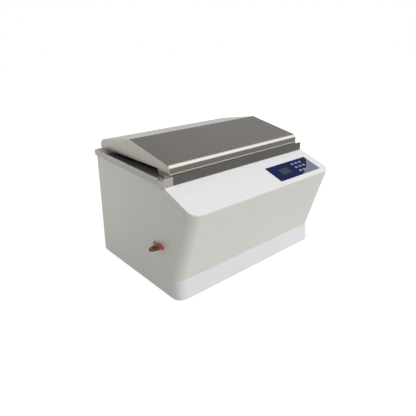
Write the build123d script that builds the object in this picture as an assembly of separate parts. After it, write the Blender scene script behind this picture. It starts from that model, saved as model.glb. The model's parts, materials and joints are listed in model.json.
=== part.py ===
from build123d import *
import os
from math import asin, atan2, cos, degrees, radians, sin, sqrt, tan

# Shaking water bath, in millimetres, +Z up and +Y to the back.
# Working axes: x = 0 on the casing's middle, y = 0 on the plinth's foot, z = 0 under the casing.
# At the end every piece moves by one shift, which puts the origin under the middle of the whole bath.

# Casing
half_width = 300.0
side_draft = 2.3
plinth_height = 61.0
plinth_setback = 6.0
nose_reach = 66.0
nose_height = 278.0
panel_back = 57.0
panel_rise = 45.0
casing_depth = 438.0
corner_radius = 30.0
casing_wall = 2.5
bottom_flange = 12.0
flange_sheet = 1.5
back_flange = 14.0
fit_gap = 0.3

# Fascia, rim trim, rear panel, base plate and feet
fascia_thickness = 4.0
trim_proud = 5.0
trim_front_height = 17.0
trim_slope = 2.5
trim_bead = 1.6
rear_sheet = 1.5
base_sheet = 2.0
foot_height = 8.0
foot_radius = 16.0
foot_inset = 50.0
vent_length = 60.0
vent_width = 6.0
vent_step = 30.0
vent_pitch = 80.0

# Tank deck and bowl
deck_top = 341.0
deck_sheet = 1.5
deck_bar_depth = 31.0
deck_bar_proud = 2.8
deck_corner = 8.0
deck_end_radius = 10.0
deck_skirt = 22.0
deck_lip = 7.5
deck_ledge = 22.0
tank_side = 60.0
tank_front = 100.0
tank_rear = 18.0
tank_floor = 172.0
tank_sheet = 1.5
tank_corner = 28.0
tank_bottom_radius = 6.0
tank_flange = 12.0
insulation = 15.0

# Lid and its hinges
lid_side = 36.5
lid_front = 63.0
lid_overhang = 10.0
lid_sheet = 1.5
ridge_height = 417.0
fold_height = 376.5
fold_radius = 13.0
back_corner_height = 387.0
back_corner_radius = 22.0
lid_rim = 360.5
lid_hem = 11.0
lid_hem_proud = 0.5
lid_leg_reach = 53.0
pad_height = 2.5
lid_pad_length = 24.0
lid_pad_cover = 4.0
lid_pad_wall = 1.4
hinge_inset = 93.5
hinge_length = 50.0
knuckle_radius = 3.5
knuckle_length = 17.4
hinge_pin_radius = 1.5
hinge_sheet = 1.5
hinge_leaf_height = 18.0
hinge_screw_drop = 13.0
hinge_screw_spread = 16.0
running_gap = 0.05

# Drain
valve_y = 98.0
valve_z = 138.0
valve_barrel_radius = 7.0
valve_bore = 4.5
valve_hex = 17.0
valve_collar = 3.5
valve_hex_length = 12.5
valve_barrel_length = 11.0
valve_shank_radius = 6.5
valve_shank_length = 18.0
ball_radius = 6.1
stem_radius = 2.0
lever_width = 7.0
lever_sheet = 1.5
lever_rise = 4.0
drain_x = -195.0
drain_y = 130.0
drain_stem_radius = 10.0
drain_drop = 14.0
pipe_radius = 8.0
pipe_bore = 5.5

# Heating and sensing
heater_radius = 4.0
heater_gap = 14.0
heater_inset = 38.0
heater_rise = 14.0
heater_bend = 20.0
probe_radius = 3.0
probe_rise = 43.0
probe_reach = 16.0
probe_spread = 110.0
tail_length = 22.0
gland_flats = 14.0
gland_outside = 6.0
gland_inside = 5.0

# Shaking drive
stroke = 30.0
rod_length = 80.0
guide_radius = 5.0
guide_spread = 70.0
guide_height = 122.0
guide_half = 132.0
frame_top = 107.0
frame_sheet = 3.0
frame_side = 38.0
frame_right = 150.0
frame_half_depth = 90.0
frame_flange = 24.0
crank_x = -50.0
crank_pulley_radius = 40.0
motor_inset = 52.0
motor_half = 38.0
motor_pulley_radius = 16.0
shaft_radius = 5.0
shaft_depth = 25.0
pulley_height = 10.0
pulley_flange = 0.8
belt_sheet = 2.0
carriage_half = 60.0
carriage_bottom = 133.0
carriage_sheet = 10.0
bush_radius = 9.5
bush_place = 40.0
magnet_gap = 2.0
magnet_length = 50.0
magnet_depth = 40.0
magnet_spread = 36.0

# Shaking tray
tray_side = 40.0
tray_end = 30.0
tray_sheet = 1.5
tray_rise = 22.0
tray_rim = 12.0
rail_height = 6.0
rail_width = 12.0
rail_spread = 100.0
rail_side = 25.0
runner_place = 150.0
runner_half = 18.0
runner_half_depth = 8.0
tray_pitch = 26.0
tray_hole = 4.5
rack_hole = 2.2
rack_inset = 14.0
clamp_pitch = 130.0
clamp_rows = 62.0
clamp_base_radius = 36.0
clamp_sheet = 1.5
finger_width = 10.0
finger_sheet = 1.2
finger_root = 20.0
finger_heel = 39.0
finger_bulge = 43.0
finger_bulge_height = 14.0
finger_waist = 31.0
finger_waist_height = 52.0
finger_lip = 35.0
finger_height = 62.0
finger_bend = 5.0
finger_curve = 9.0

# Keypad, in the fascia's own plane: u along the nose, v up the slope
pad_left = 62.0
pad_right = 255.0
pad_low = 19.0
pad_high = 91.0
pad_sheet = 0.6
window_u = 118.5
window_v = 55.0
window_width = 44.0
window_height = 28.0
key_u = 175.0
key_v = 74.5
key_pitch = 18.5
key_length = 12.0
key_width = 8.0
key_proud = 0.8
key_travel = 0.8
board_drop = 14.0
board_sheet = 1.6
board_screw_side = 6.0
board_screw_end = 5.0

# Power supply, in front of the shaking drive
supply_left = -120.0
supply_width = 160.0
supply_front = 16.0
supply_depth = 62.0
supply_rise = 10.0
heat_sink_height = 32.0
transformer_left = 70.0
transformer_width = 90.0
transformer_height = 70.0

# Back of the casing
louvre_pitch = 110.0
louvre_length = 70.0
louvre_width = 4.5
louvre_low = 210.0
louvre_rise = 11.0
inlet_x = 205.0
switch_x = 150.0
inlet_z = 62.0
inlet_width = 27.0
inlet_height = 47.0
fuse_travel = 14.0
rocker_radius = 9.5
rocker_width = 12.0
rocker_tilt = 8.0

# Screws
screw_radius = 2.0
screw_head_radius = 4.0
screw_head = 2.4
screw_gap = 0.1
screw_length = 10.0
short_screw = 8.0
side_screw_front = 60.0
side_screw_rear = 68.0
side_screw_inset = 9.0
rear_screw_inset = 10.5
rear_screw_low = 30.0
rear_screw_pitch = 130.0
foot_recess = 4.5

# Sizes worked out from the ones above
draft = tan(radians(side_draft))
panel_angle = atan2(panel_rise, panel_back + nose_reach)
panel_length = sqrt(panel_rise ** 2 + (panel_back + nose_reach) ** 2)
deck_bar_back = panel_back + deck_bar_depth
roof = ridge_height
tank_half = half_width - tank_side
tank_back = casing_depth - tank_rear
tank_middle = (tank_front + tank_back) / 2
lid_half = half_width - lid_side
lid_back = casing_depth + lid_overhang
ridge_back = tank_middle
hinge_place = lid_half - hinge_inset
tray_half = tank_half - tray_side
tray_half_depth = (tank_back - tank_front) / 2 - tray_end
rack_half = tray_half - rack_inset
rack_half_depth = tray_half_depth - rack_inset
rail_half = tank_half - rail_side
frame_left = frame_side - half_width
motor_x = frame_left + motor_inset
eccentric = stroke / 2
link_lean = asin(eccentric / rod_length)
link_x = crank_x + rod_length * cos(link_lean)
hinge_y = lid_back + knuckle_radius + 1.0
hinge_z = lid_rim - 0.5
trim_back = casing_depth + trim_proud + 3.0
side_screw_pitch = (casing_depth - side_screw_rear - side_screw_front) / 2

pieces = {}


def block(x0, x1, y0, y1, z0, z1):
    middle = Pos((x0 + x1) / 2, (y0 + y1) / 2, (z0 + z1) / 2)
    return middle * Box(abs(x1 - x0), abs(y1 - y0), abs(z1 - z0))


def post(x, y, z0, z1, radius):
    return Pos(x, y, (z0 + z1) / 2) * Cylinder(radius, z1 - z0)


def bar_x(x0, x1, y, z, radius):
    return Pos((x0 + x1) / 2, y, z) * Rot(0, 90, 0) * Cylinder(radius, abs(x1 - x0))


def bar_y(x, y0, y1, z, radius):
    return Pos(x, (y0 + y1) / 2, z) * Rot(90, 0, 0) * Cylinder(radius, abs(y1 - y0))


def hex_x(x0, x1, y, z, flats):
    nut = extrude(RegularPolygon(flats / 2, 6, major_radius=False), amount=abs(x1 - x0))
    return Pos(min(x0, x1), y, z) * Rot(0, 90, 0) * nut


def side_slab(points, half):
    return extrude(Plane.YZ * make_face(Polyline(*points, close=True)), amount=half, both=True)


def group(shapes):
    return Compound([solid for shape in shapes for solid in shape.solids()])


# Casing skin: plan outlines with two rounded front corners, joined from one height to the next

def half_at(z):
    return half_width - z * draft


def rounded_plan(z, half, front, back, radius):
    near = radius * (1 - sqrt(0.5))
    return Face(Wire([
        Line((-half, back, z), (-half, front + radius, z)),
        ThreePointArc(
            (-half, front + radius, z),
            (-half + near, front + near, z),
            (-half + radius, front, z),
        ),
        Line((-half + radius, front, z), (half - radius, front, z)),
        ThreePointArc(
            (half - radius, front, z),
            (half - near, front + near, z),
            (half, front + radius, z),
        ),
        Line((half, front + radius, z), (half, back, z)),
        Line((half, back, z), (-half, back, z)),
    ]))


def plan_at(z, inset, back):
    if z <= plinth_height:
        front = plinth_setback * z / plinth_height
    else:
        lean = min(z, nose_height) - plinth_height
        front = plinth_setback - (nose_reach + plinth_setback) * lean / (nose_height - plinth_height)
    return rounded_plan(z, half_at(z) - inset, front + inset, back, corner_radius - inset)


def skin(inset, back, low, high):
    heights = [low, plinth_height, nose_height, high]
    plans = [plan_at(z, inset, back) for z in heights]
    layers = [loft([plans[i], plans[i + 1]], ruled=True) for i in range(3)]
    return layers[0] + layers[1] + layers[2]


def taper_block(inset, y0, y1, z0, z1):
    low = half_at(z0) - inset
    high = half_at(z1) - inset
    corners = [(-low, z0), (low, z0), (high, z1), (-high, z1)]
    face = Plane.XZ * make_face(Polyline(*corners, close=True))
    return Pos(0, y1, 0) * extrude(face, amount=y1 - y0)


def panel_z(y, drop):
    return nose_height + (y + nose_reach) * tan(panel_angle) - drop / cos(panel_angle)


def trim_line(y, height):
    return deck_top + 1.0 - trim_front_height + height + (y - panel_back) * tan(radians(trim_slope))


far_front = -2 * nose_reach
under_fascia = panel_z(panel_back, fascia_thickness)
rim_cover = trim_front_height - 3.0
casing_top = [
    (far_front, -foot_height),
    (far_front, panel_z(far_front, fascia_thickness)),
    (panel_back, under_fascia),
    (deck_bar_back, under_fascia),
    (deck_bar_back, trim_line(deck_bar_back, rim_cover)),
    (casing_depth + 1, trim_line(casing_depth + 1, rim_cover)),
    (casing_depth + 1, -foot_height),
]
solid_casing = skin(0, casing_depth, 0, roof) & side_slab(casing_top, half_width + 1)


def make_casing():
    hollow = skin(casing_wall, casing_depth - rear_sheet - flange_sheet, -1, roof + 1)
    shell = solid_casing - hollow
    shell -= taper_block(casing_wall + back_flange, tank_back, casing_depth + 1, -1, deck_top - deck_ledge)
    shell -= taper_block(casing_wall, casing_depth - rear_sheet, casing_depth + 1, -1, deck_top - 10)
    flange_low = base_sheet
    flange_high = base_sheet + flange_sheet
    flange_back = casing_depth - rear_sheet - flange_sheet
    rim = loft([plan_at(flange_low, 0, flange_back), plan_at(flange_high, 0, flange_back)], ruled=True)
    inset = casing_wall + bottom_flange
    rim -= loft([
        plan_at(flange_low, inset, flange_back + 1),
        plan_at(flange_high, inset, flange_back + 1),
    ], ruled=True)
    shell += rim
    ledge_top = deck_top - deck_sheet
    ledge = taper_block(casing_wall / 2, deck_bar_back + 4, flange_back, ledge_top - 2, ledge_top)
    ledge -= taper_block(deck_ledge, tank_front, casing_depth, ledge_top - 3, ledge_top + 1)
    ledge -= block(-tank_half, tank_half, deck_bar_back, tank_front + 1, ledge_top - 3, ledge_top + 1)
    shell += ledge
    valve_x = half_at(valve_z)
    shell -= bar_x(-valve_x - 5, -valve_x + 8, valve_y, valve_z, valve_shank_radius + fit_gap)
    for x, y in base_screw_places:
        shell -= post(x, y, 0, flange_high + 1, screw_radius + screw_gap)
    for x, z in rear_screw_places:
        shell -= bar_y(x, casing_depth - 8, casing_depth + 1, z, screw_radius + screw_gap)
    return shell


base_screw_places = [
    (side * (half_width - side_screw_inset), side_screw_front + i * side_screw_pitch)
    for side in (-1, 1)
    for i in range(3)
]
rear_screw_places = [
    (side * (half_at(z) - rear_screw_inset), z)
    for side in (-1, 1)
    for z in (rear_screw_low + i * rear_screw_pitch for i in range(3))
]
hinge_screw_places = [
    x + side * hinge_screw_spread
    for x in (-hinge_place, hinge_place)
    for side in (-1, 1)
]


def make_fascia():
    top = [(y, panel_z(y, 0)) for y in (far_front, panel_back - fit_gap)]
    low = [(y, panel_z(y, fascia_thickness)) for y in (panel_back - fit_gap, far_front)]
    plate = skin(0, casing_depth, 0, roof) & side_slab(top + low, half_width + 1)
    window = SlotOverall(key_length + 2 * fit_gap, key_width + 2 * fit_gap)
    for u, v in key_places():
        plate -= panel * Pos(u, v, -fascia_thickness - 1) * extrude(window, amount=fascia_thickness + 2)
    opening = Rectangle(window_width, window_height)
    plate -= panel * Pos(window_u, window_v, -fascia_thickness - 1) * extrude(opening, amount=fascia_thickness + 2)
    boss_length = board_drop - fascia_thickness
    for u, v in board_screw_places:
        boss = Cylinder(2 * screw_radius, boss_length) - Cylinder(screw_radius + screw_gap, boss_length + 1)
        plate += panel * Pos(u, v, -fascia_thickness - boss_length / 2) * boss
    return plate


board_screw_places = [
    (u, v)
    for u in (pad_left + board_screw_side, pad_right - board_screw_side)
    for v in (pad_low - board_screw_end, pad_high + board_screw_end)
]


panel = Plane(
    origin=(0, -nose_reach, nose_height),
    x_dir=(1, 0, 0),
    z_dir=(0, -sin(panel_angle), cos(panel_angle)),
)


def key_places():
    rows = [(0, 3), (1, 3), (2, 2)]
    return [(key_u + i * key_pitch, key_v - row * key_pitch) for row, count in rows for i in range(count)]


def make_trim():
    inner_half = half_at(deck_top) - casing_wall + fit_gap
    outer_half = half_at(deck_top) + trim_proud
    start = deck_bar_back + fit_gap
    ring = block(-outer_half, outer_half, start, trim_back, nose_height, ridge_height)
    ring = fillet(ring.edges().filter_by(Axis.Z).group_by(Axis.Y)[-1], 1.4 * trim_proud)
    ring -= block(-inner_half, inner_half, start - 1, casing_depth - 2, nose_height, ridge_height)
    band = [
        (start, trim_line(start, 0)),
        (trim_back + 1, trim_line(trim_back + 1, 0)),
        (trim_back + 1, trim_line(trim_back + 1, trim_front_height)),
        (start, trim_line(start, trim_front_height)),
    ]
    trim = (ring & side_slab(band, outer_half + 1)) - solid_casing
    for x in hinge_screw_places:
        trim -= bar_y(x, trim_back - 4, trim_back + 1, hinge_z - hinge_screw_drop, screw_radius + screw_gap)
    top = trim.faces().filter_by(lambda f: f.normal_at().Z > 0.99).sort_by(Axis.Z)[-1]
    return fillet(top.edges(), trim_bead)


def make_rear_panel():
    gap = casing_wall + fit_gap
    top = deck_top - 10 - fit_gap
    plate = taper_block(gap, casing_depth - rear_sheet, casing_depth, fit_gap, top)
    for x in (-louvre_pitch, 0.0, louvre_pitch):
        for i in range(7):
            slot = extrude(SlotOverall(louvre_length, louvre_width), amount=8)
            plate -= Pos(x, casing_depth + 3, louvre_low + i * louvre_rise) * Rot(90, 0, 0) * slot
    plate -= block(inlet_x - inlet_width / 2, inlet_x + inlet_width / 2, casing_depth - 5, casing_depth + 1,
                   inlet_z - inlet_height / 2, inlet_z + inlet_height / 2)
    plate -= block(switch_x - 10, switch_x + 10, casing_depth - 5, casing_depth + 1, inlet_z - 14, inlet_z + 14)
    for x, z in rear_screw_places:
        plate -= bar_y(x, casing_depth - 5, casing_depth + 1, z, screw_radius + screw_gap)
    return plate


def foot_places():
    return [
        (side * (half_width - foot_inset), y)
        for side in (-1, 1)
        for y in (foot_inset, casing_depth - foot_inset)
    ]


def make_base_plate():
    inset = casing_wall + fit_gap
    back = casing_depth - rear_sheet - flange_sheet - fit_gap
    plate = loft([plan_at(0, inset, back), plan_at(base_sheet, inset, back)], ruled=True)
    for i in range(3):
        for j in (-1.5, -0.5, 0.5):
            slot = extrude(SlotOverall(vent_length, vent_width), amount=base_sheet + 2)
            x = half_width - foot_inset - i * vent_step
            plate -= Pos(x, tank_middle + j * vent_pitch, -1) * Rot(0, 0, 90) * slot
    for x, y in base_screw_places + foot_places():
        plate -= post(x, y, -1, base_sheet + 1, screw_radius + screw_gap)
    for x, y in frame_screw_places:
        plate -= post(x, y, -1, base_sheet + 1, screw_radius + screw_gap)
    return plate


frame_screw_places = [
    (x, tank_middle + side * (frame_half_depth - 20))
    for x in (frame_left + 12, frame_right - 12)
    for side in (-1, 1)
]


def make_feet():
    feet = []
    for x, y in foot_places():
        foot = Pos(x, y, -foot_height / 2) * Cone(foot_radius - 2, foot_radius, foot_height)
        foot -= post(x, y, -foot_height - 1, -foot_height + foot_recess, screw_head_radius + 1)
        foot -= post(x, y, -foot_height, 1, screw_radius + screw_gap)
        feet.append(foot)
    return group(feet)


def screw(length):
    head = Pos(0, 0, screw_head / 2) * Cylinder(screw_head_radius, screw_head)
    head = fillet(head.edges().group_by(Axis.Z)[-1], screw_head / 3)
    shank = Pos(0, 0, -length / 2) * Cylinder(screw_radius, length)
    long = 1.3 * screw_head_radius
    wide = 0.25 * screw_head_radius
    deep = 0.65 * screw_head
    slot = Pos(0, 0, screw_head) * Box(long, wide, deep) + Pos(0, 0, screw_head) * Box(wide, long, deep)
    return head + shank - slot


def make_screws():
    down = Rot(180, 0, 0)
    back = Rot(-90, 0, 0)
    screws = [Pos(x, y, 0) * down * screw(screw_length) for x, y in base_screw_places]
    screws += [Pos(x, casing_depth, z) * back * screw(short_screw) for x, z in rear_screw_places]
    screws += [Pos(x, y, -foot_height + foot_recess) * down * screw(screw_length) for x, y in foot_places()]
    screws += [Pos(x, y, 0) * down * screw(screw_length) for x, y in frame_screw_places]
    for u, v in board_screw_places:
        screws.append(panel * Pos(u, v, -board_drop - board_sheet) * down * screw(short_screw))
    for x in hinge_screw_places:
        place = Pos(x, trim_back + hinge_sheet, hinge_z - hinge_screw_drop)
        screws.append(place * back * screw(hinge_sheet + 3.5))
    return group(screws)


# Tank

def bar_block(inset, low, top, back):
    half = half_at(under_fascia) + deck_bar_proud - inset
    plan = rounded_plan(low, half, panel_back + inset, back, deck_corner - inset)
    corner = deck_end_radius - inset
    corners = [(half, low), (half, top), (-half, top), (-half, low)]
    front = make_face(FilletPolyline(*corners, radius=[0, corner, corner, 0], close=True))
    ends = Pos(0, back, 0) * extrude(Plane.XZ * front, amount=back - panel_back)
    return extrude(plan, amount=top - low) & ends


def make_deck():
    low = deck_top - deck_skirt
    outer = bar_block(0, low, deck_top + deck_lip, deck_bar_back)
    outer -= block(-half_width, half_width, panel_back + 2 * deck_sheet, deck_bar_back + 1, deck_top, ridge_height)
    inner = bar_block(deck_sheet, low - 1, deck_top + deck_lip - deck_sheet, deck_bar_back + 1)
    inner -= block(-half_width, half_width, far_front, deck_bar_back + 2, deck_top - deck_sheet, ridge_height)
    rear_half = half_at(deck_top) - casing_wall - 1.0
    plate = block(-rear_half, rear_half, deck_bar_back, casing_depth - 5, deck_top - deck_sheet, deck_top)
    opening = Pos(0, tank_middle, deck_top - 5) * extrude(
        RectangleRounded(2 * tank_half, tank_back - tank_front, tank_corner), amount=10)
    return outer - inner + plate - opening


def tank_box(grow, floor, top):
    depth = tank_back - tank_front + 2 * grow
    outline = RectangleRounded(2 * (tank_half + grow), depth, tank_corner + grow)
    box = Pos(0, tank_middle, floor) * extrude(outline, amount=top - floor)
    return fillet(box.edges().group_by(Axis.Z)[0], tank_bottom_radius + grow)


def heater_ends():
    return [tank_front + heater_inset, tank_back - heater_inset]


def probe_ends():
    return [tank_middle - probe_spread, tank_middle + probe_spread]


heater_z = tank_floor + heater_rise
probe_z = tank_floor + probe_rise


def make_bowl():
    under_deck = deck_top - deck_sheet
    bowl = tank_box(tank_sheet, tank_floor - tank_sheet, under_deck)
    flange_plan = RectangleRounded(
        2 * (tank_half + tank_flange), tank_back - tank_front + 2 * tank_flange - 4, tank_corner + tank_flange)
    bowl += Pos(0, tank_middle, under_deck - tank_sheet) * extrude(flange_plan, amount=tank_sheet)
    bowl -= tank_box(0, tank_floor, under_deck + 1)
    bowl -= post(drain_x, drain_y, tank_floor - 5, tank_floor + 1, drain_stem_radius + fit_gap)
    for y in heater_ends():
        bowl -= bar_x(tank_half - 2, tank_half + 5, y, heater_z, heater_radius + fit_gap)
    for y in probe_ends():
        bowl -= bar_x(tank_half - 2, tank_half + 5, y, probe_z, probe_radius + fit_gap)
    return bowl


def make_insulation():
    inner = tank_sheet + fit_gap
    top = deck_top - deck_sheet - tank_sheet - 4
    outline = RectangleRounded(2 * (tank_half + insulation), tank_back - tank_front + 2 * insulation - 4, 20)
    low = tank_floor - insulation
    jacket = Pos(0, tank_middle, low) * extrude(outline, amount=top - low)
    jacket -= tank_box(inner, tank_floor - inner, top + 1)
    window_half = magnet_length / 2 + eccentric + 6
    window_depth = magnet_spread + magnet_depth / 2 + 6
    jacket -= block(-window_half, window_half, tank_middle - window_depth, tank_middle + window_depth,
                    low - 1, tank_floor)
    jacket -= post(drain_x, drain_y, low - 1, tank_floor, 22)
    outside = tank_half + insulation + 2
    for y in heater_ends() + probe_ends():
        z = heater_z if y in heater_ends() else probe_z
        jacket -= bar_x(tank_half, outside, y, z, 11)
    return jacket


def heater_route():
    near, far = heater_ends()
    left = -tank_half + heater_gap
    right = tank_half + tail_length
    points = [(right, near, heater_z), (left, near, heater_z), (left, far, heater_z), (right, far, heater_z)]
    return FilletPolyline(*points, radius=heater_bend)


def make_heater():
    start = Plane(origin=(tank_half + tail_length, heater_ends()[0], heater_z), z_dir=(-1, 0, 0))
    return sweep(start * Circle(heater_radius), path=heater_route())


def make_probes():
    probes = []
    for y in probe_ends():
        rod = bar_x(tank_half - probe_reach, tank_half + tail_length, y, probe_z, probe_radius)
        rod = fillet(rod.edges().group_by(Axis.X)[0], probe_radius - 0.2)
        probes.append(rod)
    return group(probes)


def make_nuts():
    nuts = []
    wall_out = tank_half + tank_sheet
    glands = [(y, heater_z, heater_radius, gland_flats) for y in heater_ends()]
    glands += [(y, probe_z, probe_radius, gland_flats - 2) for y in probe_ends()]
    for y, z, radius, flats in glands:
        bore = bar_x(0, half_width, y, z, radius)
        nuts.append(hex_x(wall_out, wall_out + gland_outside, y, z, flats) - bore)
        nuts.append(hex_x(tank_half - gland_inside, tank_half, y, z, flats) - bore)
    below = tank_floor - tank_sheet
    ring = Pos(drain_x, drain_y, below - 6) * extrude(RegularPolygon(14, 6, major_radius=False), amount=6)
    nuts.append(ring - post(drain_x, drain_y, below - 8, below + 1, drain_stem_radius))
    inner_face = -half_at(valve_z) + casing_wall + 0.6
    lock = hex_x(inner_face, inner_face + 5, valve_y, valve_z, 19)
    nuts.append(lock - bar_x(inner_face - 1, inner_face + 6, valve_y, valve_z, valve_shank_radius))
    return group(nuts)


def make_floor_rails():
    rails = []
    for side in (-1, 1):
        y = tank_middle + side * rail_spread
        near = y - rail_width / 2
        rails.append(block(-rail_half, rail_half, near, near + rail_width, tank_floor, tank_floor + rail_height))
    return group(rails)


# Drain line: tank fitting, bent pipe and ball valve

drain_low = tank_floor - drain_drop


def make_drain_fitting():
    flange = post(drain_x, drain_y, tank_floor, tank_floor + 2.5, 14)
    flange = fillet(flange.edges().group_by(Axis.Z)[-1], 1.5)
    stem = post(drain_x, drain_y, drain_low, tank_floor + 1, drain_stem_radius)
    return flange + stem - post(drain_x, drain_y, drain_low - 1, tank_floor + 4, pipe_bore)


def make_drain_pipe():
    shank_end = -half_at(valve_z) + valve_shank_length
    points = [
        (drain_x, drain_y, drain_low),
        (drain_x, drain_y, valve_z),
        (shank_end + 14, valve_y, valve_z),
        (shank_end, valve_y, valve_z),
    ]
    route = FilletPolyline(*points, radius=[17, 30])
    start = Plane(origin=points[0], z_dir=(0, 0, -1))
    outside = sweep(start * Circle(pipe_radius), path=route)
    return outside - sweep(start * Circle(pipe_bore), path=route)


stem_reach = valve_collar + valve_hex_length / 2
stem_x = -half_at(valve_z) - stem_reach
lever_z = valve_z + 15.0


def make_valve_body():
    face = -half_at(valve_z)
    hex_end = face - valve_collar - valve_hex_length
    tip = hex_end - valve_barrel_length
    body = bar_x(face + valve_shank_length, face - 0.5, valve_y, valve_z, valve_shank_radius)
    body += bar_x(face - 0.5, face - valve_collar, valve_y, valve_z, valve_hex / 2 + 2)
    body += hex_x(face - valve_collar, hex_end, valve_y, valve_z, valve_hex)
    barrel = bar_x(hex_end, tip, valve_y, valve_z, valve_barrel_radius)
    body += chamfer(barrel.edges().group_by(Axis.X)[0], 0.8)
    body += post(stem_x, valve_y, valve_z, lever_z - 1.5, stem_radius + 2.5)
    body -= bar_x(face + valve_shank_length + 1, tip - 1, valve_y, valve_z, valve_bore)
    body -= Pos(stem_x, valve_y, valve_z) * Sphere(ball_radius + 0.1)
    body -= post(stem_x, valve_y, valve_z, lever_z, stem_radius + running_gap)
    return body


def make_ball():
    ball = Pos(stem_x, valve_y, valve_z) * Sphere(ball_radius)
    ball -= bar_y(stem_x, valve_y - 10, valve_y + 10, valve_z, valve_bore - 1)
    return ball - post(stem_x, valve_y, valve_z + ball_radius - 1.2, valve_z + 10, stem_radius)


def make_stem():
    top = lever_z + lever_sheet + 4
    stem = post(stem_x, valve_y, valve_z + ball_radius - 1.2, top, stem_radius)
    nut = Pos(stem_x, valve_y, lever_z + lever_sheet) * extrude(RegularPolygon(3.5, 6, major_radius=False), amount=3)
    return stem + nut


lever_points = [
    (valve_y + 5, lever_z),
    (valve_y - 5, lever_z),
    (valve_y - 10, lever_z + lever_rise),
    (valve_y - 22, lever_z + lever_rise),
    (valve_y - 40, lever_z - 5),
]


def lever_part(points, width, thick, radii):
    lifted = [(stem_x, y, z + lever_sheet / 2) for y, z in points]
    route = FilletPolyline(*lifted, radius=radii)
    first = Vector(*lifted[0])
    along = Vector(*lifted[1]) - first
    start = Plane(origin=first, x_dir=(1, 0, 0), z_dir=along)
    return sweep(start * RectangleRounded(width, thick, thick * 0.45), path=route)


def make_lever():
    lever = lever_part(lever_points, lever_width, lever_sheet, [3, 4, 9])
    return lever - post(stem_x, valve_y, lever_z - 5, lever_z + 10, stem_radius)


def make_sleeve():
    start = (valve_y - 13, lever_z + lever_rise)
    sleeve = lever_part([start] + lever_points[3:], lever_width + 2.5, 5.0, [9])
    return sleeve - lever_part(lever_points, lever_width, lever_sheet, [3, 4, 9])


# Lid and hinges

def make_lid():
    foot = deck_top + pad_height
    corners = [
        (lid_front, foot),
        (lid_front, fold_height),
        (ridge_back, ridge_height),
        (lid_back, back_corner_height),
        (lid_back, foot),
    ]
    outline = make_face(FilletPolyline(*corners, radius=[0, fold_radius, 6, back_corner_radius, 0], close=True))
    outside = extrude(Plane.YZ * outline, amount=lid_half, both=True)
    outside = fillet(outside.faces().filter_by(Axis.X).edges().filter_by(
        lambda e: e.center().Z > lid_rim + 5), lid_sheet * 0.9)
    inside = extrude(Plane.YZ * offset(outline, amount=-lid_sheet), amount=lid_half - lid_sheet, both=True)
    width = lid_half - lid_sheet
    inside += block(-width, width, lid_front + lid_sheet, lid_back - lid_sheet, foot - 1, foot + 8)
    lid = outside - inside
    leg_back = lid_front + lid_leg_reach
    lid -= block(-half_width, half_width, leg_back, lid_back + 1, foot - 1, lid_rim)
    hem = block(-lid_half, lid_half, lid_front - lid_hem_proud, lid_front + lid_sheet / 2, foot, foot + lid_hem)
    top_edge = hem.edges().filter_by(Axis.X).group_by(Axis.Y)[0].sort_by(Axis.Z)[-1]
    return lid + chamfer(top_edge, 0.9 * lid_hem_proud)


def make_lid_pads():
    pads = []
    foot = deck_top + pad_height
    for side in (-1, 1):
        outer = side * (lid_half + lid_pad_wall)
        inner = side * (lid_half - lid_sheet - lid_pad_wall)
        start = lid_front + lid_sheet
        end = start + lid_pad_length
        pad = block(outer, inner, start, end, deck_top + fit_gap, foot + lid_pad_cover)
        pad -= block(side * lid_half, side * (lid_half - lid_sheet), start - 1, end + 1, foot, foot + lid_pad_cover + 1)
        pads.append(pad)
    return group(pads)


def knuckle(x0, x1, bore):
    return bar_x(x0, x1, hinge_y, hinge_z, knuckle_radius) - bar_x(x0 - 1, x1 + 1, hinge_y, hinge_z, bore)


def make_fixed_leaves():
    leaves = []
    middle_half = knuckle_length / 2 + fit_gap
    for x in (-hinge_place, hinge_place):
        left = x - hinge_length / 2
        right = x + hinge_length / 2
        low = hinge_z - knuckle_radius - hinge_leaf_height + 3
        top = hinge_z - knuckle_radius + hinge_sheet
        leaf = block(left, right, trim_back, trim_back + hinge_sheet, low, top)
        for x0, x1 in ((left, x - middle_half), (x + middle_half, right)):
            web = block(x0, x1, trim_back, hinge_y, top - hinge_sheet, top)
            web -= bar_x(x0 - 1, x1 + 1, hinge_y, hinge_z, hinge_pin_radius)
            leaf += web + knuckle(x0, x1, hinge_pin_radius)
        for screw_x in hinge_screw_places:
            leaf -= bar_y(screw_x, trim_back - 1, trim_back + 5, hinge_z - hinge_screw_drop, screw_radius + screw_gap)
        leaves.append(leaf)
    return group(leaves)


def make_lid_leaves():
    leaves = []
    for x in (-hinge_place, hinge_place):
        low = hinge_z + knuckle_radius + fit_gap
        leaf = block(x - hinge_length / 2, x + hinge_length / 2, lid_back, lid_back + hinge_sheet,
                     low, back_corner_height - 0.85 * back_corner_radius)
        x0 = x - knuckle_length / 2
        x1 = x + knuckle_length / 2
        web = block(x0, x1, lid_back, hinge_y, hinge_z + knuckle_radius - hinge_sheet, low + 0.5)
        web -= bar_x(x0 - 1, x1 + 1, hinge_y, hinge_z, hinge_pin_radius + running_gap)
        leaves.append(leaf + web + knuckle(x0, x1, hinge_pin_radius + running_gap))
    return group(leaves)


def make_hinge_pins():
    reach = hinge_length / 2
    return group([bar_x(x - reach, x + reach, hinge_y, hinge_z, hinge_pin_radius) for x in (-hinge_place, hinge_place)])


# Shaking drive under the tank

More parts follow.
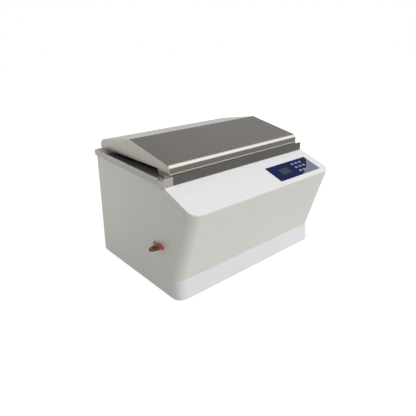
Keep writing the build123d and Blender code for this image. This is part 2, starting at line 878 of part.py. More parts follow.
def make_drive_frame():
    near = tank_middle - frame_half_depth
    far = tank_middle + frame_half_depth
    foot = base_sheet
    plate = block(frame_left, frame_right, near, far, frame_top - frame_sheet, frame_top)
    for x0, x1, flange in (
        (frame_left, frame_left + frame_sheet, frame_left + frame_flange),
        (frame_right - frame_sheet, frame_right, frame_right - frame_flange),
    ):
        plate += block(x0, x1, near, far, foot, frame_top)
        plate += block(x0, flange, near, far, foot, foot + frame_sheet)
    housing = post(crank_x, tank_middle, frame_top - 24, frame_top - frame_sheet / 2, 19)
    plate += housing
    plate -= post(crank_x, tank_middle, frame_top - 25, frame_top + 1, 14)
    plate -= post(motor_x, tank_middle, frame_top - 10, frame_top + 1, 8)
    for x, y in frame_screw_places:
        plate -= post(x, y, 0, foot + frame_sheet + 1, screw_radius + screw_gap)
    return plate


def make_bearings():
    rings = []
    for low in (frame_top - 22, frame_top - 10):
        rings.append(post(crank_x, tank_middle, low, low + 8, 14) - post(
            crank_x, tank_middle, low - 1, low + 9, 6 + running_gap))
    return group(rings)


def guide_places():
    return [tank_middle - guide_spread, tank_middle + guide_spread]


def make_rod_supports():
    supports = []
    for x in (-guide_half + 10, guide_half - 10):
        for y in guide_places():
            stand = block(x - 10, x + 10, y - 12, y + 12, frame_top, guide_height + 10)
            supports.append(stand - bar_x(x - 11, x + 11, y, guide_height, guide_radius))
    return group(supports)


def make_guide_rods():
    return group([bar_x(-guide_half, guide_half, y, guide_height, guide_radius) for y in guide_places()])


def make_motor():
    half = motor_half
    top = frame_top - frame_sheet
    gearhead = block(motor_x - half, motor_x + half, tank_middle - half, tank_middle + half, top - 42, top)
    gearhead = fillet(gearhead.edges().filter_by(Axis.Z), 6)
    body = post(motor_x, tank_middle, base_sheet + 4, top - 42, half - 1)
    body = fillet(body.edges().group_by(Axis.Z)[0], 4)
    boss = post(motor_x, tank_middle, top - 1, frame_top, 7.5)
    bore = post(motor_x, tank_middle, top - shaft_depth, frame_top + 1, shaft_radius + running_gap)
    return gearhead + body + boss - bore


def pulley(x, radius):
    low = frame_top + 2
    wheel = post(x, tank_middle, low, low + pulley_height, radius)
    for z in (low, low + pulley_height - pulley_flange):
        wheel += post(x, tank_middle, z, z + pulley_flange, radius + belt_sheet + 1.5)
    return wheel


def make_crank():
    wheel = pulley(crank_x, crank_pulley_radius)
    for angle in range(30, 390, 60):
        x = crank_x + 28 * cos(radians(angle))
        y = tank_middle + 28 * sin(radians(angle))
        wheel -= post(x, y, frame_top, frame_top + 20, 8)
    return wheel + post(crank_x, tank_middle, frame_top - 22, frame_top + 4, 6)


def make_motor_pulley():
    return pulley(motor_x, motor_pulley_radius) - post(
        motor_x, tank_middle, frame_top, frame_top + 20, shaft_radius)


def make_motor_shaft():
    low = frame_top - frame_sheet - shaft_depth + fit_gap
    return post(motor_x, tank_middle, low, frame_top + pulley_height + 3, shaft_radius)


def belt_face(grow):
    distance = crank_x - motor_x
    circles = Circle(crank_pulley_radius + grow) + Pos(-distance, 0) * Circle(motor_pulley_radius + grow)
    return make_hull(circles.edges())


def make_belt():
    height = pulley_height - 2 * pulley_flange - 2 * fit_gap
    loop = belt_face(fit_gap + belt_sheet) - belt_face(fit_gap)
    return Pos(crank_x, tank_middle, frame_top + 2 + pulley_flange + fit_gap) * extrude(loop, amount=height)


def make_carriage():
    top = carriage_bottom + carriage_sheet
    half_depth = guide_spread + 14
    plate = block(-carriage_half, carriage_half, tank_middle - half_depth, tank_middle + half_depth,
                  carriage_bottom, top)
    for x in (-bush_place, bush_place):
        for y in guide_places():
            plate += block(x - 14, x + 14, y - 12, y + 12, guide_height - 11, carriage_bottom + 1)
            plate -= bar_x(x - 15, x + 15, y, guide_height, bush_radius)
    plate += post(link_x, tank_middle, link_low - 2, carriage_bottom + 1, 4)
    return plate


link_low = frame_top + 2 + pulley_height + 2
link_high = link_low + 6


def make_bushes():
    bushes = []
    for x in (-bush_place, bush_place):
        for y in guide_places():
            ring = bar_x(x - 14, x + 14, y, guide_height, bush_radius)
            bushes.append(ring - bar_x(x - 15, x + 15, y, guide_height, guide_radius + running_gap))
    return group(bushes)


def magnets(low, high):
    blocks = []
    for side in (-1, 1):
        y = tank_middle + side * magnet_spread
        pot = block(-magnet_length / 2, magnet_length / 2, y - magnet_depth / 2, y + magnet_depth / 2, low, high)
        blocks.append(fillet(pot.edges().filter_by(Axis.Z), 5))
    return group(blocks)


def make_link():
    pin_y = tank_middle + eccentric
    middle_x = (crank_x + link_x) / 2
    middle_y = tank_middle + eccentric / 2
    arm = Pos(middle_x, middle_y, link_low) * Rot(0, 0, -degrees(link_lean)) * extrude(
        Rectangle(rod_length, 10), amount=link_high - link_low)
    arm += post(link_x, tank_middle, link_low, link_high, 9) + post(crank_x, pin_y, link_low, link_high, 9)
    arm -= post(link_x, tank_middle, link_low - 1, link_high + 1, 4 + running_gap)
    arm -= post(crank_x, pin_y, link_low - 1, link_high + 1, 4)
    pin = post(crank_x, pin_y, frame_top + 2 + pulley_height + fit_gap, link_high + 1, 4)
    return group([arm, pin])


# Shaking tray with its flask clamps

tray_low = tank_floor + tray_rise


def clamp_places():
    return [(i * clamp_pitch, tank_middle + side * clamp_rows) for side in (-1, 1) for i in (-1, 0, 1)]


def make_tray():
    top = tray_low + tray_sheet
    near = tank_middle - tray_half_depth
    far = tank_middle + tray_half_depth
    tray = block(-tray_half, tray_half, near, far, tray_low, top)
    tray = fillet(tray.edges().filter_by(Axis.Z), 8)
    for y in (near, far - tray_sheet):
        tray += block(-tray_half + 10, tray_half - 10, y, y + tray_sheet, tray_low - tray_rim, tray_low + 0.5)
    columns = int((tray_half - 12) / tray_pitch)
    rows = int((tray_half_depth - 12) / tray_pitch)
    hole = Cylinder(tray_hole, 4 * tray_sheet)
    holes = []
    for i in range(-columns, columns + 1):
        for j in range(-rows, rows + 1):
            x = i * tray_pitch
            y = tank_middle + j * tray_pitch
            near_screw = min(abs(x - cx) + abs(y - cy) for cx, cy in clamp_places() + rack_places())
            if near_screw > tray_hole + 2 * rack_hole + 3:
                holes.append(Pos(x, y, tray_low) * hole)
    for x, y in clamp_places() + rack_places():
        holes.append(Pos(x, y, tray_low) * Cylinder(rack_hole, 4 * tray_sheet))
    return tray - holes


def rack_places():
    return [
        (x, tank_middle + y)
        for x in (-rack_half, rack_half)
        for y in (-rack_half_depth, rack_half_depth)
    ]


def make_runners():
    runners = []
    low = tank_floor + rail_height + fit_gap
    for x in (-runner_place, runner_place):
        for side in (-1, 1):
            near = tank_middle + side * rail_spread - runner_half_depth
            far = near + 2 * runner_half_depth
            runners.append(block(x - runner_half, x + runner_half, near, far, low, tray_low))
    return group(runners)


def make_clamp_bases():
    bases = []
    floor = tray_low + tray_sheet
    for x, y in clamp_places():
        disc = post(x, y, floor, floor + clamp_sheet, clamp_base_radius)
        rivet = post(x, y, floor - 4, floor + clamp_sheet + 1.6, rack_hole - screw_gap)
        rivet += post(x, y, floor + clamp_sheet, floor + clamp_sheet + 2.2, 4)
        bases.append(disc + rivet)
    return group(bases)


def make_clamp_fingers():
    fingers = []
    foot = tray_low + tray_sheet + clamp_sheet + finger_sheet / 2
    outline = [
        (finger_root, foot),
        (finger_heel, foot),
        (finger_bulge, foot + finger_bulge_height),
        (finger_waist, foot + finger_waist_height),
        (finger_lip, foot + finger_height),
    ]
    route = Plane.XZ * FilletPolyline(*outline, radius=[finger_bend, finger_curve, finger_curve])
    start = Plane(origin=(finger_root, 0, foot), x_dir=(0, 1, 0), z_dir=(1, 0, 0))
    finger = sweep(start * Rectangle(finger_width, finger_sheet), path=route)
    for x, y in clamp_places():
        for angle in range(45, 405, 90):
            fingers.append(Pos(x, y, 0) * Rot(0, 0, angle) * finger)
    return group(fingers)


# Keypad, display and electronics

def make_overlay():
    plate = panel * Pos((pad_left + pad_right) / 2, (pad_low + pad_high) / 2, 0) * extrude(
        RectangleRounded(pad_right - pad_left, pad_high - pad_low, 3), amount=pad_sheet)
    hole = SlotOverall(key_length + 2 * fit_gap, key_width + 2 * fit_gap)
    for u, v in key_places():
        plate -= panel * Pos(u, v, -1) * extrude(hole, amount=3)
    glass = Rectangle(window_width, window_height)
    return plate - panel * Pos(window_u, window_v, -1) * extrude(glass, amount=3)


def make_window():
    glass = Rectangle(window_width, window_height)
    return panel * Pos(window_u, window_v, -1.4) * extrude(glass, amount=pad_sheet + 1.4)


def make_key(u, v):
    cap = extrude(SlotOverall(key_length, key_width), amount=fascia_thickness + 2 + pad_sheet + key_proud)
    cap = fillet(cap.edges().group_by(Axis.Z)[-1], 0.5)
    skirt = extrude(SlotOverall(key_length + 2.4, key_width + 2.4), amount=1.4)
    low = -fascia_thickness - 2
    return panel * Pos(u, v, low) * (cap + Pos(0, 0, 0.3) * skirt)


def make_control_board():
    width = pad_right - pad_left
    height = pad_high - pad_low + 22
    board = panel * Pos((pad_left + pad_right) / 2, (pad_low + pad_high) / 2, -board_drop - board_sheet) * extrude(
        Rectangle(width, height), amount=board_sheet)
    for u, v in board_screw_places:
        board -= panel * Pos(u, v, -board_drop) * Cylinder(screw_radius + screw_gap, short_screw)
    switch_top = -fascia_thickness - 2 - key_travel - fit_gap
    for u, v in key_places():
        tactile = extrude(Rectangle(6, 6), amount=switch_top + board_drop - 1.5)
        plunger = Cylinder(1.8, 1.5)
        board += panel * Pos(u, v, -board_drop) * tactile
        board += panel * Pos(u, v, switch_top - 0.75) * plunger
    module = panel * Pos(window_u, window_v, -board_drop) * extrude(
        Rectangle(window_width + 14, window_height + 12), amount=board_drop - fascia_thickness - fit_gap)
    return group([board, module])


def make_power_supply():
    floor = base_sheet
    deck = floor + supply_rise + board_sheet
    right = supply_left + supply_width
    back = supply_front + supply_depth
    board = block(supply_left, right, supply_front, back, floor + supply_rise, deck)
    for x in (supply_left + board_screw_side, right - board_screw_side):
        for y in (supply_front + board_screw_side, back - board_screw_side):
            board += post(x, y, floor, floor + supply_rise, board_screw_side / 2)
    near = supply_front + 0.13 * supply_depth
    for start, width, depth, height in ((0.12, 0.19, 0.32, 0.7), (0.62, 0.29, 0.26, 0.45)):
        x = supply_left + start * supply_width
        board += block(x, x + width * supply_width, near, near + depth * supply_depth,
                       deck, deck + height * heat_sink_height)
    sink_front = back - 0.35 * supply_depth
    sink_back = back - 0.06 * supply_depth
    x = supply_left + 0.06 * supply_width
    fin = board_sheet * 1.25
    pitch = 0.105 * supply_width
    sink = block(x, x + 5 * pitch + fin, sink_front, sink_back, deck, deck + 2 * fin)
    for i in range(6):
        left = x + i * pitch
        sink += block(left, left + fin, sink_front, sink_back, deck + fin, deck + heat_sink_height)
    inset = 0.15 * transformer_width
    middle = (supply_front + back) / 2
    half = transformer_width / 3
    end = transformer_left + transformer_width
    core = block(transformer_left, end, middle - half, middle + half, floor, floor + transformer_height)
    coil = block(transformer_left + inset, end - inset, middle - 1.2 * half, middle + 1.2 * half,
                 floor + inset, floor + transformer_height - inset)
    transformer = fillet((core + coil).edges().filter_by(Axis.Y), board_sheet)
    return group([board, sink, transformer])


def make_inlet():
    wide = inlet_width / 2
    tall = inlet_height / 2
    face = casing_depth
    body = block(inlet_x - wide + 0.5, inlet_x + wide - 0.5, face - 24, face, inlet_z - tall + 0.5, inlet_z + tall - 0.5)
    flange = block(inlet_x - wide - 3, inlet_x + wide + 3, face, face + 2.5, inlet_z - tall - 3, inlet_z + tall + 3)
    body += fillet(flange.edges().filter_by(Axis.Y), 3)
    socket_z = inlet_z + 7
    body -= block(inlet_x - 10, inlet_x + 10, face - 16, face + 3, socket_z - 8, socket_z + 8)
    for dx, dz in ((-6, 2.5), (0, -2.5), (6, 2.5)):
        body += block(inlet_x + dx - 1, inlet_x + dx + 1, face - 18, face - 2, socket_z + dz - 2, socket_z + dz + 2)
    body -= block(inlet_x - 10, inlet_x + 10, face - 16 - fit_gap, face + 3, fuse_z - 4.5, fuse_z + 4.5)
    return body


fuse_z = inlet_z - 15


def make_fuse_drawer():
    face = casing_depth + 2.5
    drawer = block(inlet_x - 9.6, inlet_x + 9.6, face - 16, face + 1.2, fuse_z - 4.1, fuse_z + 4.1)
    drawer = fillet(drawer.edges().filter_by(Axis.Y), 0.8)
    return drawer - block(inlet_x - 5, inlet_x + 5, face + 0.4, face + 2, fuse_z - 1, fuse_z + 1)


rocker_y = casing_depth - 3


def make_switch_housing():
    face = casing_depth
    body = block(switch_x - 9.5, switch_x + 9.5, face - 22, face, inlet_z - 13.5, inlet_z + 13.5)
    flange = block(switch_x - 12, switch_x + 12, face, face + 2, inlet_z - 16, inlet_z + 16)
    body += fillet(flange.edges().filter_by(Axis.Y), 2)
    half = rocker_width / 2 + fit_gap
    body -= bar_x(switch_x - half, switch_x + half, rocker_y, inlet_z, rocker_radius + fit_gap)
    return body


def make_rocker():
    drum = bar_x(switch_x - rocker_width / 2, switch_x + rocker_width / 2, rocker_y, inlet_z, rocker_radius)
    reach = rocker_radius + 2
    front = [
        (rocker_y + 5.0, inlet_z),
        (rocker_y + 8.5, inlet_z + reach),
        (rocker_y + 20, inlet_z + reach),
        (rocker_y + 20, inlet_z - reach),
        (rocker_y + 8.5, inlet_z - reach),
    ]
    drum -= Pos(switch_x, 0, 0) * side_slab(front, rocker_width)
    turned = Pos(0, rocker_y, inlet_z) * Rot(-rocker_tilt, 0, 0) * Pos(0, -rocker_y, -inlet_z)
    return turned * drum


pieces["outer_casing"] = make_casing()
pieces["control_fascia"] = make_fascia()
pieces["rim_trim"] = make_trim()
pieces["rear_panel"] = make_rear_panel()
pieces["base_plate"] = make_base_plate()
pieces["rubber_feet"] = make_feet()
pieces["casing_screws"] = make_screws()
pieces["tank_deck"] = make_deck()
pieces["tank_bowl"] = make_bowl()
pieces["tank_insulation"] = make_insulation()
pieces["heater_tube"] = make_heater()
pieces["temperature_probes"] = make_probes()
pieces["fitting_nuts"] = make_nuts()
pieces["floor_rails"] = make_floor_rails()
pieces["drain_fitting"] = make_drain_fitting()
pieces["drain_pipe"] = make_drain_pipe()
pieces["valve_body"] = make_valve_body()
pieces["valve_ball"] = make_ball()
pieces["valve_stem"] = make_stem()
pieces["valve_lever"] = make_lever()
pieces["lever_sleeve"] = make_sleeve()
pieces["lid_shell"] = make_lid()
pieces["lid_pads"] = make_lid_pads()
pieces["hinge_leaves_fixed"] = make_fixed_leaves()
pieces["hinge_leaves_lid"] = make_lid_leaves()
pieces["hinge_pins"] = make_hinge_pins()
pieces["drive_frame"] = make_drive_frame()
pieces["crank_bearings"] = make_bearings()
pieces["rod_supports"] = make_rod_supports()
pieces["guide_rods"] = make_guide_rods()
pieces["gear_motor"] = make_motor()
pieces["crank_pulley"] = make_crank()
pieces["motor_pulley"] = make_motor_pulley()
pieces["motor_shaft"] = make_motor_shaft()
pieces["drive_belt"] = make_belt()
pieces["drive_carriage"] = make_carriage()
pieces["slide_bushes"] = make_bushes()
pieces["carriage_magnets"] = magnets(carriage_bottom + carriage_sheet, tank_floor - tank_sheet - magnet_gap)
pieces["connecting_rod"] = make_link()
pieces["shaking_tray"] = make_tray()
pieces["tray_runners"] = make_runners()
pieces["tray_magnets"] = magnets(tank_floor + magnet_gap, tray_low)
pieces["clamp_bases"] = make_clamp_bases()
pieces["clamp_fingers"] = make_clamp_fingers()
pieces["keypad_overlay"] = make_overlay()
pieces["display_window"] = make_window()
pieces["control_board"] = make_control_board()
pieces["power_supply"] = make_power_supply()
pieces["mains_inlet"] = make_inlet()
pieces["fuse_drawer"] = make_fuse_drawer()
pieces["switch_housing"] = make_switch_housing()
pieces["power_rocker"] = make_rocker()
for number, (u, v) in enumerate(key_places(), start=1):
    pieces[f"key_{number}"] = make_key(u, v)

# The origin sits under the middle of the box from the valve's tip to the right side, nose to hinges
valve_tip = half_at(valve_z) + valve_collar + valve_hex_length + valve_barrel_length
shift = Pos((valve_tip - half_width) / 2, (nose_reach - hinge_y - knuckle_radius) / 2, foot_height)

os.makedirs("parts", exist_ok=True)
for name, shape in pieces.items():
    export_step(shift * shape, f"parts/{name}.step")
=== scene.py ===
import json
import math

import bmesh
import bpy
from mathutils import Matrix, Vector


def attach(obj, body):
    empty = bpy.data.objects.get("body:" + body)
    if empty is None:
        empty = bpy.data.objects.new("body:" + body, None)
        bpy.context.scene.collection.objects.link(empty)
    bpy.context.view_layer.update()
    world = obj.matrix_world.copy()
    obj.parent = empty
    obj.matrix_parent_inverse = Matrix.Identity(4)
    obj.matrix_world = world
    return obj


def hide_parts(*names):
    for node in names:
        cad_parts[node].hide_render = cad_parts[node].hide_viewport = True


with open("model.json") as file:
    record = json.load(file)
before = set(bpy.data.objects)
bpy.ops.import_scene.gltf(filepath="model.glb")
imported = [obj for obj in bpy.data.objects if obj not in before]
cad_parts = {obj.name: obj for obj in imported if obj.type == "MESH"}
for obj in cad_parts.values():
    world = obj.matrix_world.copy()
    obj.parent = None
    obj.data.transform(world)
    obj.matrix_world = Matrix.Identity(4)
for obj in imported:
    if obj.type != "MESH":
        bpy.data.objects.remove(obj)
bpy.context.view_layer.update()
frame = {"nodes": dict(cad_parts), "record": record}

scene = bpy.context.scene
NODES = frame["nodes"]
BODY_OF = {
    node: body
    for body, names in frame["record"]["behaviour"]["bodies"].items()
    for node in names
}
MM = 0.001
# The working axes start at the casing's middle, on the plinth's front foot and under the casing
WORK_ORIGIN = Vector((0.010728674, -0.195, 0.008))


def at(x, y, z):
    """A point of the working axes, in millimetres, as the frame's metres."""
    return Vector((x * MM, y * MM, z * MM)) + WORK_ORIGIN


# Camera

EYE = at(-829.4, -760.0, 673.9)
YAW = math.radians(-40.2)
PITCH = math.radians(-22.74)
ROLL = math.radians(-1.32)
FOCAL_PIXELS = 396.68
FRAME_PIXELS = 416.0
SENSOR_WIDTH = 36.0


def make_camera():
    data = bpy.data.cameras.new("camera")
    data.sensor_width = SENSOR_WIDTH
    data.lens = FOCAL_PIXELS / FRAME_PIXELS * SENSOR_WIDTH
    data.clip_start = 0.05
    data.clip_end = 50.0
    forward = Vector((
        math.sin(-YAW) * math.cos(PITCH),
        math.cos(-YAW) * math.cos(PITCH),
        math.sin(PITCH),
    ))
    right = forward.cross(Vector((0, 0, 1))).normalized()
    up = right.cross(forward)
    rolled_right = math.cos(ROLL) * right + math.sin(ROLL) * up
    rolled_up = -math.sin(ROLL) * right + math.cos(ROLL) * up
    turn = Matrix((rolled_right, rolled_up, -forward)).transposed()
    camera = bpy.data.objects.new("camera", data)
    camera.matrix_world = Matrix.Translation(EYE) @ turn.to_4x4()
    scene.collection.objects.link(camera)
    scene.camera = camera


make_camera()


# Materials

class Nodes:
    """Short calls to add and join the nodes of one tree."""

    def __init__(self, tree):
        self.tree = tree

    def node(self, kind, **values):
        made = self.tree.nodes.new(kind)
        for key, value in values.items():
            setattr(made, key, value)
        return made

    def join(self, source, target):
        self.tree.links.new(source, target)

    def maths(self, operation, *values):
        """A maths node. Each value is another node's output or a number."""
        made = self.node("ShaderNodeMath", operation=operation)
        for socket, value in zip(made.inputs, values):
            if isinstance(value, bpy.types.NodeSocket):
                self.join(value, socket)
            else:
                socket.default_value = value
        return made.outputs["Value"]

    def dot(self, source, axis):
        """How far a vector reaches along a fixed axis."""
        made = self.node("ShaderNodeVectorMath", operation="DOT_PRODUCT")
        made.inputs[1].default_value = axis
        self.join(source, made.inputs[0])
        return made.outputs["Value"]

    def remap(self, source, low, high, from_low=0.3, from_high=0.7, step="LINEAR"):
        made = self.node("ShaderNodeMapRange", interpolation_type=step)
        made.inputs["From Min"].default_value = from_low
        made.inputs["From Max"].default_value = from_high
        made.inputs["To Min"].default_value = low
        made.inputs["To Max"].default_value = high
        self.join(source, made.inputs["Value"])
        return made.outputs["Result"]


class Shader(Nodes):
    """One node material."""

    def __init__(self, name):
        self.material = bpy.data.materials.new(name)
        self.material.use_nodes = True
        super().__init__(self.material.node_tree)
        self.bsdf = self.tree.nodes["Principled BSDF"]
        self.coords = self.node("ShaderNodeTexCoord").outputs["Object"]

    def put(self, **values):
        """Constants of the shader, with _ for the spaces in their names."""
        for key, value in values.items():
            self.bsdf.inputs[key.replace("_", " ")].default_value = value

    def noise(self, scale, detail=3.0, roughness=0.5, stretch=(1, 1, 1)):
        mapping = self.node("ShaderNodeMapping")
        mapping.inputs["Scale"].default_value = stretch
        self.join(self.coords, mapping.inputs["Vector"])
        made = self.node("ShaderNodeTexNoise")
        made.inputs["Scale"].default_value = scale
        made.inputs["Detail"].default_value = detail
        made.inputs["Roughness"].default_value = roughness
        self.join(mapping.outputs["Vector"], made.inputs["Vector"])
        return made.outputs["Fac"]

    def tint(self, source, dark, light):
        made = self.node("ShaderNodeMix", data_type="RGBA")
        made.inputs["A"].default_value = (*dark, 1)
        made.inputs["B"].default_value = (*light, 1)
        self.join(source, made.inputs["Factor"])
        return made.outputs["Result"]

    def colour(self, source):
        self.join(source, self.bsdf.inputs["Base Color"])

    def clouded(self, source, colour, darker, lighter):
        """The colour, drifting between two shares of itself."""
        dark = [c * darker for c in colour]
        light = [c * lighter for c in colour]
        self.colour(self.tint(self.remap(source, 0, 1), dark, light))

    def roughness(self, source, low, high):
        self.join(self.remap(source, low, high), self.bsdf.inputs["Roughness"])

    def bump(self, source, strength, distance):
        made = self.node("ShaderNodeBump")
        made.inputs["Strength"].default_value = strength
        made.inputs["Distance"].default_value = distance
        self.join(source, made.inputs["Height"])
        self.join(made.outputs["Normal"], self.bsdf.inputs["Normal"])


def paint(name, colour, spread=0.025, rough=0.42, peel=0.12):
    """Baked enamel: a faint drift of tone, orange peel and a soft gloss."""
    s = Shader(name)
    s.clouded(s.noise(6.0, detail=4.0), colour, 1 - spread, 1 + spread)
    s.roughness(s.noise(60.0, detail=5.0), rough - 0.05, rough + 0.06)
    s.bump(s.noise(420.0), peel, 0.00025)
    s.put(Coat_Weight=0.15, Coat_Roughness=0.25)
    return s.material


def plastic(name, colour, spread=0.04, rough=0.45, grain=0.15):
    """Moulded plastic: a fine spark-eroded grain and slightly uneven gloss."""
    s = Shader(name)
    s.clouded(s.noise(25.0, detail=4.0), colour, 1 - spread, 1 + spread)
    s.roughness(s.noise(140.0, detail=4.0), rough - 0.06, rough + 0.08)
    s.bump(s.noise(900.0, detail=2.0), grain, 0.0002)
    return s.material


# How finely the streaks of brushed steel change along themselves and across
ALONG_STREAKS = 5
ACROSS_STREAKS = 900


def steel(name, colour, rough, along, streak=0.10, smudge=0.05, metallic=1.0):
    """Brushed sheet: long fine streaks along one axis, with soft smudges over them."""
    s = Shader(name)
    stretch = [ALONG_STREAKS if axis == along else ACROSS_STREAKS for axis in "xyz"]
    lines = s.noise(1.0, detail=4.0, roughness=0.65, stretch=stretch)
    cloud = s.noise(9.0, detail=5.0, roughness=0.6)
    s.clouded(lines, colour, 1 - streak, 1 + streak)
    sheen = s.maths(
        "ADD", s.remap(lines, rough - 0.05, rough + 0.05), s.remap(cloud, -smudge, smudge))
    s.join(sheen, s.bsdf.inputs["Roughness"])
    s.bump(lines, 0.06, 0.0001)
    s.put(Metallic=metallic)
    return s.material


def metal(name, colour, rough=0.3, spread=0.08, scale=70.0, bump=0.03):
    """Cast, turned or plated metal with a slightly cloudy surface."""
    s = Shader(name)
    s.clouded(s.noise(scale, detail=5.0), colour, 1 - spread, 1 + spread)
    s.roughness(s.noise(scale * 2.5, detail=4.0), rough - 0.07, rough + 0.1)
    s.bump(s.noise(scale * 14), bump, 0.0002)
    s.put(Metallic=1.0)
    return s.material


def rubber(name, colour, rough=0.75):
    """Rubber or foam: matte, with a soft fine grain."""
    s = Shader(name)
    s.clouded(s.noise(90.0, detail=4.0), colour, 0.85, 1.12)
    s.roughness(s.noise(200.0, detail=4.0), rough - 0.08, rough + 0.1)
    s.bump(s.noise(1400.0, detail=2.0), 0.25, 0.0002)
    return s.material


# The fascia's own plane: u along the nose, v up the slope, w out of it
PANEL_RISE = 45.0
PANEL_RUN = 123.0
PANEL_ANGLE = math.atan2(PANEL_RISE, PANEL_RUN)
NOSE = at(0, -66.0, 278.0)
PANEL_U = Vector((1, 0, 0))
PANEL_V = Vector((0, math.cos(PANEL_ANGLE), math.sin(PANEL_ANGLE)))
PANEL_W = Vector((0, -math.sin(PANEL_ANGLE), math.cos(PANEL_ANGLE)))
# Arc where the keypad's blue field ends: centre and radius on the fascia, width of its edge
ARC_U = 57.3
ARC_V = 270.5
ARC_RADIUS = 273.5
ARC_EDGE = 0.8


def on_panel(u, v, w):
    """A point of the fascia's plane, in millimetres from the nose's middle."""
    return NOSE + (PANEL_U * u + PANEL_V * v + PANEL_W * w) * MM


def keypad_film():
    """Printed film: a blue field that ends in a wide arc, and silver grey outside it."""
    s = Shader("keypad_film")
    place = s.node("ShaderNodeVectorMath", operation="SUBTRACT")
    place.inputs[1].default_value = on_panel(ARC_U, ARC_V, 0)
    s.join(s.coords, place.inputs[0])
    squares = []
    for axis in (PANEL_U, PANEL_V):
        along = s.dot(place.outputs["Vector"], axis)
        squares.append(s.maths("MULTIPLY", along, along))
    reach = s.maths("SQRT", s.maths("ADD", *squares))
    inner = (ARC_RADIUS - ARC_EDGE / 2) * MM
    outer = (ARC_RADIUS + ARC_EDGE / 2) * MM
    edge = s.remap(reach, 0, 1, inner, outer)
    blue = s.tint(s.remap(s.noise(30.0), 0, 1), (0.003, 0.008, 0.058), (0.005, 0.012, 0.078))
    silver = s.tint(s.remap(s.noise(700.0), 0, 1), (0.150, 0.165, 0.225), (0.185, 0.205, 0.270))
    mix = s.node("ShaderNodeMix", data_type="RGBA")
    s.join(edge, mix.inputs["Factor"])
    s.join(blue, mix.inputs["A"])
    s.join(silver, mix.inputs["B"])
    s.colour(mix.outputs["Result"])
    s.roughness(s.noise(300.0), 0.34, 0.46)
    s.put(Specular_IOR_Level=0.06)
    s.bump(s.noise(1100.0), 0.05, 0.0001)
    return s.material


M = {
    "casing": paint("casing_enamel", (0.645, 0.64, 0.61)),
    # Painted cool light: the casing's front faces below the crease get this cooler, bluer tone of
    # the same paint
    "plinth": paint("plinth_painted_cool_light", (0.635, 0.645, 0.665)),
    "fascia": plastic("fascia_white", (0.70, 0.70, 0.705), spread=0.012, rough=0.46, grain=0.05),
    "trim": paint("trim_enamel", (0.47, 0.46, 0.435), spread=0.03, rough=0.44),
    "lid": steel("lid_steel", (0.365, 0.345, 0.315), 0.28, "x", streak=0.04, smudge=0.03),
    # Painted dark reflection: the lid's own steel made darker for the flat of its front skirt
    "skirt": steel("skirt_painted_shade", (0.175, 0.166, 0.152), 0.30, "x", streak=0.04, smudge=0.03),
    "deck": steel(
        "deck_steel", (0.40, 0.385, 0.365), 0.40, "x", streak=0.05, smudge=0.03, metallic=0.75),
    "tank": steel("tank_steel", (0.58, 0.57, 0.55), 0.28, "z"),
    "tray": steel("tray_steel", (0.60, 0.59, 0.58), 0.32, "y"),
    "zinc": metal("zinc_plate", (0.56, 0.57, 0.58), rough=0.38, spread=0.14, scale=40.0),
    "nickel": metal("nickel_plate", (0.66, 0.65, 0.62), rough=0.22),
    "spring": metal("spring_steel", (0.60, 0.60, 0.60), rough=0.25),
    "hinge": metal(
        "hinge_plate", (0.50, 0.50, 0.49), rough=0.36, spread=0.04, scale=25.0, bump=0.0),
    "brass": metal("cast_brass", (0.25, 0.195, 0.115), spread=0.30),
    "bronze": metal("bush_bronze", (0.50, 0.31, 0.14), rough=0.40, spread=0.12),
    "aluminium": metal("machined_aluminium", (0.70, 0.71, 0.72), rough=0.33),
    "ferrite": rubber("coated_ferrite", (0.07, 0.07, 0.075), rough=0.5),
    "sleeve": plastic("red_sleeve", (0.42, 0.055, 0.05), spread=0.10, rough=0.36, grain=0.10),
    "black_rubber": rubber("black_rubber", (0.035, 0.035, 0.035)),
    "grey_rubber": rubber("grey_rubber", (0.26, 0.26, 0.26)),
    "pale_rubber": rubber("pale_rubber", (0.50, 0.48, 0.43), rough=0.6),
    "foam": rubber("foam_jacket", (0.60, 0.57, 0.47), rough=0.9),
    "ptfe": plastic("white_ptfe", (0.80, 0.80, 0.78), spread=0.03, rough=0.5, grain=0.05),
    "motor": paint("motor_enamel", (0.05, 0.05, 0.055), spread=0.08, rough=0.4),
    "black": plastic("black_plastic", (0.03, 0.03, 0.03), spread=0.1, rough=0.42),
    "board": plastic("circuit_board", (0.02, 0.12, 0.05), spread=0.15, rough=0.35, grain=0.05),
    "supply": paint("supply_varnish", (0.10, 0.10, 0.11), spread=0.15, rough=0.4),
    "key": plastic("key_cap", (0.24, 0.26, 0.40), spread=0.05, rough=0.5, grain=0.05),
    "strip": plastic("front_strip", (0.062, 0.058, 0.050), spread=0.06, rough=0.40, grain=0.05),
    "glass": plastic("display_window", (0.005, 0.014, 0.022), spread=0.05, rough=0.16, grain=0.0),
    "digit": plastic("display_digits", (0.050, 0.065, 0.042), spread=0.05, rough=0.4, grain=0.0),
    "film": keypad_film(),
}

